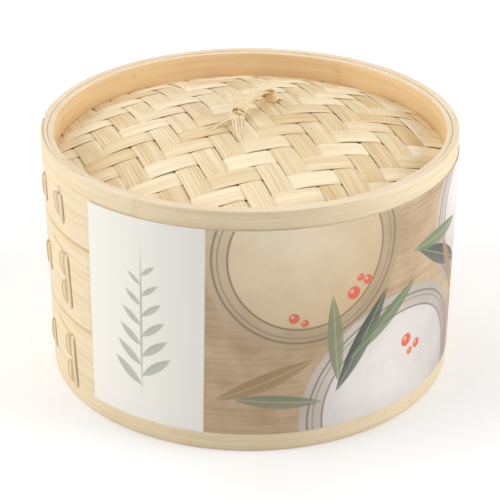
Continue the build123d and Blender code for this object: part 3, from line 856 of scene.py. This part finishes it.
def printed_paper():
    """A generic print: a grey sprig on a bare margin, then discs, leaves and berries on a warm ground."""
    nodes = Nodes("printed paper")
    place = nodes.add("ShaderNodeTexCoord").outputs["UV"]
    parts = nodes.add("ShaderNodeSeparateXYZ", {0: place}).outputs
    edge = 0.3 * mm

    # Places and sizes in the print are millimetres on the flat sheet
    sprig_place = 30
    sprig_foot = 21
    sprig_pitch = 10.5
    sprig_stagger = 2.5
    sprig_slant = radians(40)
    stem_middle = 52
    stem_half = 36
    stem_width = 0.6
    longest_leaf = 9.5
    leaf_plumpness = 0.24
    sprig_grey = (178, 180, 170)

    def inside(distance, size):
        """1 closer than a size, 0 further off."""
        return nodes.ramp(nodes.math("SUBTRACT", size, distance), -edge, edge)

    def distance_from(x, y):
        inputs = {0: place, 1: (x * mm, y * mm, 0)}
        return nodes.add("ShaderNodeVectorMath", inputs, operation="DISTANCE").outputs["Value"]

    def stone(colour, x, y, size, light, dark):
        """A disc, lit from its upper left."""
        light_side = distance_from(x - 0.35 * size, y + 0.35 * size)
        shade = nodes.ramp(light_side, 0.2 * size * mm, 1.4 * size * mm)
        shade = nodes.math("ADD", shade, nodes.ramp(mottle, 0.3, 0.7, -0.15, 0.15))
        face = nodes.mix(shade, linear(*light), linear(*dark))
        return nodes.mix(inside(distance_from(x, y), size * mm), colour, face)

    def ring(colour, x, y, size, width, shade):
        """A thin circle."""
        off_line = nodes.math("ABSOLUTE", nodes.math("SUBTRACT", distance_from(x, y), size * mm))
        share = nodes.math("MULTIPLY", inside(off_line, width * mm), 0.8)
        return nodes.mix(share, colour, linear(*shade))

    def leaf(colour, x, y, angle, length, width, shade):
        """A pointed leaf with a pale rib."""
        point = (x * mm, y * mm, 0)
        moved = nodes.add("ShaderNodeVectorMath", {0: place, 1: point}, operation="SUBTRACT").outputs[0]
        inputs = {"Vector": moved, "Angle": radians(-angle)}
        turned = nodes.add("ShaderNodeVectorRotate", inputs, rotation_type="Z_AXIS").outputs[0]
        own = nodes.add("ShaderNodeSeparateXYZ", {0: turned}).outputs
        share = nodes.math("DIVIDE", own[0], length * mm)
        bulge = nodes.math("SUBTRACT", 1.0, nodes.math("MULTIPLY", share, share))
        off_rib = nodes.math("ABSOLUTE", own[1])
        blade = inside(off_rib, nodes.math("MULTIPLY", bulge, width * mm))
        rib = nodes.math("MULTIPLY", blade, nodes.ramp(off_rib, 0.0, 0.5 * mm, 0.45, 0.0))
        half = nodes.ramp(own[1], -width * mm, width * mm, 0.75, 1.0)
        colour = nodes.mix(nodes.math("MULTIPLY", blade, half), colour, linear(*shade))
        return nodes.mix(rib, colour, linear(206, 200, 168))

    def berry(colour, x, y, size):
        """A coral dot with a small light."""
        colour = nodes.mix(inside(distance_from(x, y), size * mm), colour, linear(222, 112, 86))
        glint = inside(distance_from(x - 0.3 * size, y + 0.3 * size), 0.3 * size * mm)
        return nodes.mix(nodes.math("MULTIPLY", glint, 0.6), colour, linear(248, 214, 196))

    mottle = nodes.grain(place, mottle_grain, 4.0, 0.6)
    grain = nodes.grain(place, ground_grain, 3.0, 0.6)
    colour = nodes.mix(nodes.ramp(mottle, 0.3, 0.7), linear(206, 180, 146), linear(182, 154, 122))
    colour = nodes.mix(nodes.ramp(grain, 0.45, 0.7, 0.0, 0.4), colour, linear(150, 120, 90))
    discs = ((106, 90, 47, False), (158, 6, 54, True), (224, 82, 43, True), (292, 24, 50, False))
    for x, y, size, grey in discs:
        rim = ((208, 198, 188), (162, 150, 140)) if grey else ((222, 204, 172), (178, 156, 124))
        face = ((232, 226, 220), (196, 186, 182)) if grey else ((240, 224, 194), (210, 184, 146))
        colour = stone(colour, x, y, size, *rim)
        colour = ring(colour, x, y, size - 4, 0.5, (132, 112, 92))
        colour = ring(colour, x, y, size - 6.5, 0.3, (148, 130, 110))
        colour = stone(colour, x, y, size - 11, *face)
        colour = ring(colour, x, y, size - 11, 0.4, (118, 98, 78))
    leaves = (
        (134, 42, 62, 27, 4.6, (74, 86, 76)), (147, 49, 38, 24, 4.0, (112, 130, 92)),
        (120, 46, 96, 23, 3.8, (138, 142, 112)), (192, 64, -28, 29, 4.8, (70, 82, 74)),
        (186, 77, -2, 24, 4.0, (118, 134, 98)), (203, 53, -58, 23, 3.8, (158, 128, 90)),
        (250, 38, 118, 28, 4.6, (76, 88, 78)), (240, 30, 148, 23, 3.8, (122, 134, 100)),
        (262, 46, 88, 21, 3.6, (162, 134, 96)), (318, 76, 30, 27, 4.6, (78, 90, 80)),
        (330, 63, 2, 21, 3.6, (126, 136, 102)), (88, 28, 24, 25, 4.2, (164, 136, 98)),
        (94, 17, -6, 21, 3.6, (134, 138, 112)),
    )
    for x, y, angle, length, width, shade in leaves:
        colour = leaf(colour, x, y, angle, length, width, shade)
    berries = (
        (128, 68, 3.2), (135, 73, 2.4), (131, 75, 1.8), (162, 32, 3.4), (170, 27, 2.5), (165, 25, 1.9),
        (214, 38, 3.2), (221, 43, 2.3), (276, 66, 3.2), (283, 72, 2.4), (100, 60, 2.5), (105, 57, 1.8),
    )
    for x, y, size in berries:
        colour = berry(colour, x, y, size)
    margin = nodes.ramp(parts[0], bare_margin - edge, bare_margin + edge)
    colour = nodes.mix(margin, linear(238, 235, 227), colour)

    # One grey sprig stands on the bare margin, with six pairs of leaves that shorten upwards
    colour = leaf(colour, sprig_place, stem_middle, 90, stem_half, stem_width, sprig_grey)
    for pair in range(6):
        half = longest_leaf - pair
        for side in (1, -1):
            x = sprig_place + side * half * cos(sprig_slant)
            y = sprig_foot + sprig_pitch * pair + sprig_stagger * side + half * sin(sprig_slant)
            angle = 90 - side * (90 - degrees(sprig_slant))
            colour = leaf(colour, x, y, angle, half, leaf_plumpness * half, sprig_grey)
    return nodes.finish(colour, nodes.ramp(mottle, 0.3, 0.7, 0.42, 0.5), mottle, paper_bump)


def plain_paper():
    """The unprinted back of the paper and its cut edges."""
    nodes = Nodes("plain paper")
    place = nodes.add("ShaderNodeTexCoord").outputs["UV"]
    pulp = nodes.grain(place, pulp_grain, 3.0)
    colour = nodes.mix(nodes.ramp(pulp, 0.3, 0.7), linear(236, 232, 222), linear(224, 219, 207))
    return nodes.finish(colour, nodes.ramp(pulp, 0.3, 0.7, 0.7, 0.8), pulp, paper_bump)


def sleeve():
    """The paper sheet, bent round the wall with its two ends standing off a little."""
    low, high = levels("paper_sleeve")
    share = np.linspace(0, 1, sleeve_columns)
    rising = np.linspace(low, high, sleeve_rows)
    up_and_down = np.concatenate([rising, rising[::-1]])
    inside = outer_radius + sleeve_clearance
    turn = radians(sleeve_start_angle) + share[:, None] * sleeve_length / inside
    turn = turn + sleeve_lean * (up_and_down - (low + high) / 2) / (high - low)
    lift = start_lift * np.exp(-share * sleeve_length / start_lift_length)
    lift += end_lift * np.exp(-(1 - share) * sleeve_length / end_lift_length)
    lift += sleeve_wave * np.sin(share * sleeve_wave_turn + sleeve_wave_start)
    face = np.tile((inside + sleeve_thickness + lift)[:, None], sleeve_rows)
    radius = np.concatenate([face, face - sleeve_thickness], 1)
    level = np.tile(up_and_down, (sleeve_columns, 1))
    sections = np.stack([radius * np.cos(turn), radius * np.sin(turn), level], -1)
    around = np.append(up_and_down, low) - low
    shape = Shape()
    kinds = [0] * (sleeve_rows - 1) + [1] * (sleeve_rows + 1)
    shape.skin(sections, share * sleeve_length, around, kinds)
    piece = shape.make("paper_sleeve_sheet", (printed_paper(), plain_paper()))
    show(piece, "sleeve", "printed_paper", "paper_sleeve")


sleeve()


def dress(node, material):
    """Give a CAD piece its visual material."""
    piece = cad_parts[node]
    piece.data.materials.clear()
    piece.data.materials.append(material)


for tier in ("lower", "upper"):
    dress(f"{tier}_base_ring", ring_bamboo)
    dress(f"{tier}_bearer_pins", pin_bamboo)
    dress(f"{tier}_hoop_pins", pin_bamboo)
    for side in ("left", "right"):
        dress(f"{tier}_bearer_{side}", bearer_bamboo)
    for number in range(1, 10):
        dress(f"{tier}_slat_{number}", slat_bamboo)
dress("lid_hoop_pins", pin_bamboo)


def stage():
    """A pale floor that keeps the shadow, white surroundings and soft light from both sides and above."""
    half = floor_half
    corners = [(-half, -half, 0), (half, -half, 0), (half, half, 0), (-half, half, 0)]
    mesh = bpy.data.meshes.new("floor")
    mesh.from_pydata(corners, [], [(0, 1, 2, 3)])
    floor = bpy.data.objects.new("floor", mesh)
    bpy.context.scene.collection.objects.link(floor)
    paint = Nodes("floor white")
    paint.shader.inputs["Base Color"].default_value = (floor_tone, floor_tone, floor_tone, 1.0)
    paint.shader.inputs["Roughness"].default_value = floor_roughness
    paint.shader.inputs["Emission Color"].default_value = (1.0, 1.0, 1.0, 1.0)
    seen = paint.add("ShaderNodeLightPath").outputs["Is Camera Ray"]
    place = paint.add("ShaderNodeTexCoord").outputs["Object"]
    away = paint.add("ShaderNodeVectorMath", {0: place}, operation="LENGTH").outputs["Value"]
    glow = paint.ramp(away, near_floor, far_floor, floor_glow, 1.0)
    paint.put(paint.shader.inputs["Emission Strength"], paint.math("MULTIPLY", seen, glow))
    mesh.materials.append(paint.material)

    lamps = (
        ("left", left_place, left_power), ("right", right_place, right_power), ("top", top_place, top_power)
    )
    for name, place, power in lamps:
        lamp = bpy.data.lights.new(name, "AREA")
        lamp.shape = "DISK"
        lamp.size = light_size
        lamp.energy = power
        light = bpy.data.objects.new(name, lamp)
        light.location = place
        aim = Vector(light_aim) - Vector(place)
        light.rotation_euler = aim.to_track_quat("-Z", "Y").to_euler()
        bpy.context.scene.collection.objects.link(light)

    world = bpy.data.worlds.new("studio")
    world.use_nodes = True
    tree = world.node_tree
    sky = tree.nodes["Background"]
    sky.inputs["Color"].default_value = (1.0, 1.0, 1.0, 1.0)
    ray = tree.nodes.new("ShaderNodeLightPath")
    level = tree.nodes.new("ShaderNodeMapRange")
    level.inputs["To Min"].default_value = sky_level
    level.inputs["To Max"].default_value = 1.0
    tree.links.new(ray.outputs["Is Camera Ray"], level.inputs["Value"])
    tree.links.new(level.outputs[0], sky.inputs["Strength"])
    bpy.context.scene.world = world

    lens = bpy.data.cameras.new("camera")
    lens.lens = camera_lens
    lens.sensor_width = camera_sensor
    camera = bpy.data.objects.new("camera", lens)
    camera.location = camera_place
    camera.rotation_euler = (pi / 2 - camera_pitch, 0, 0)
    bpy.context.scene.collection.objects.link(camera)
    bpy.context.scene.camera = camera
    bpy.context.scene.view_settings.view_transform = "Standard"


stage()
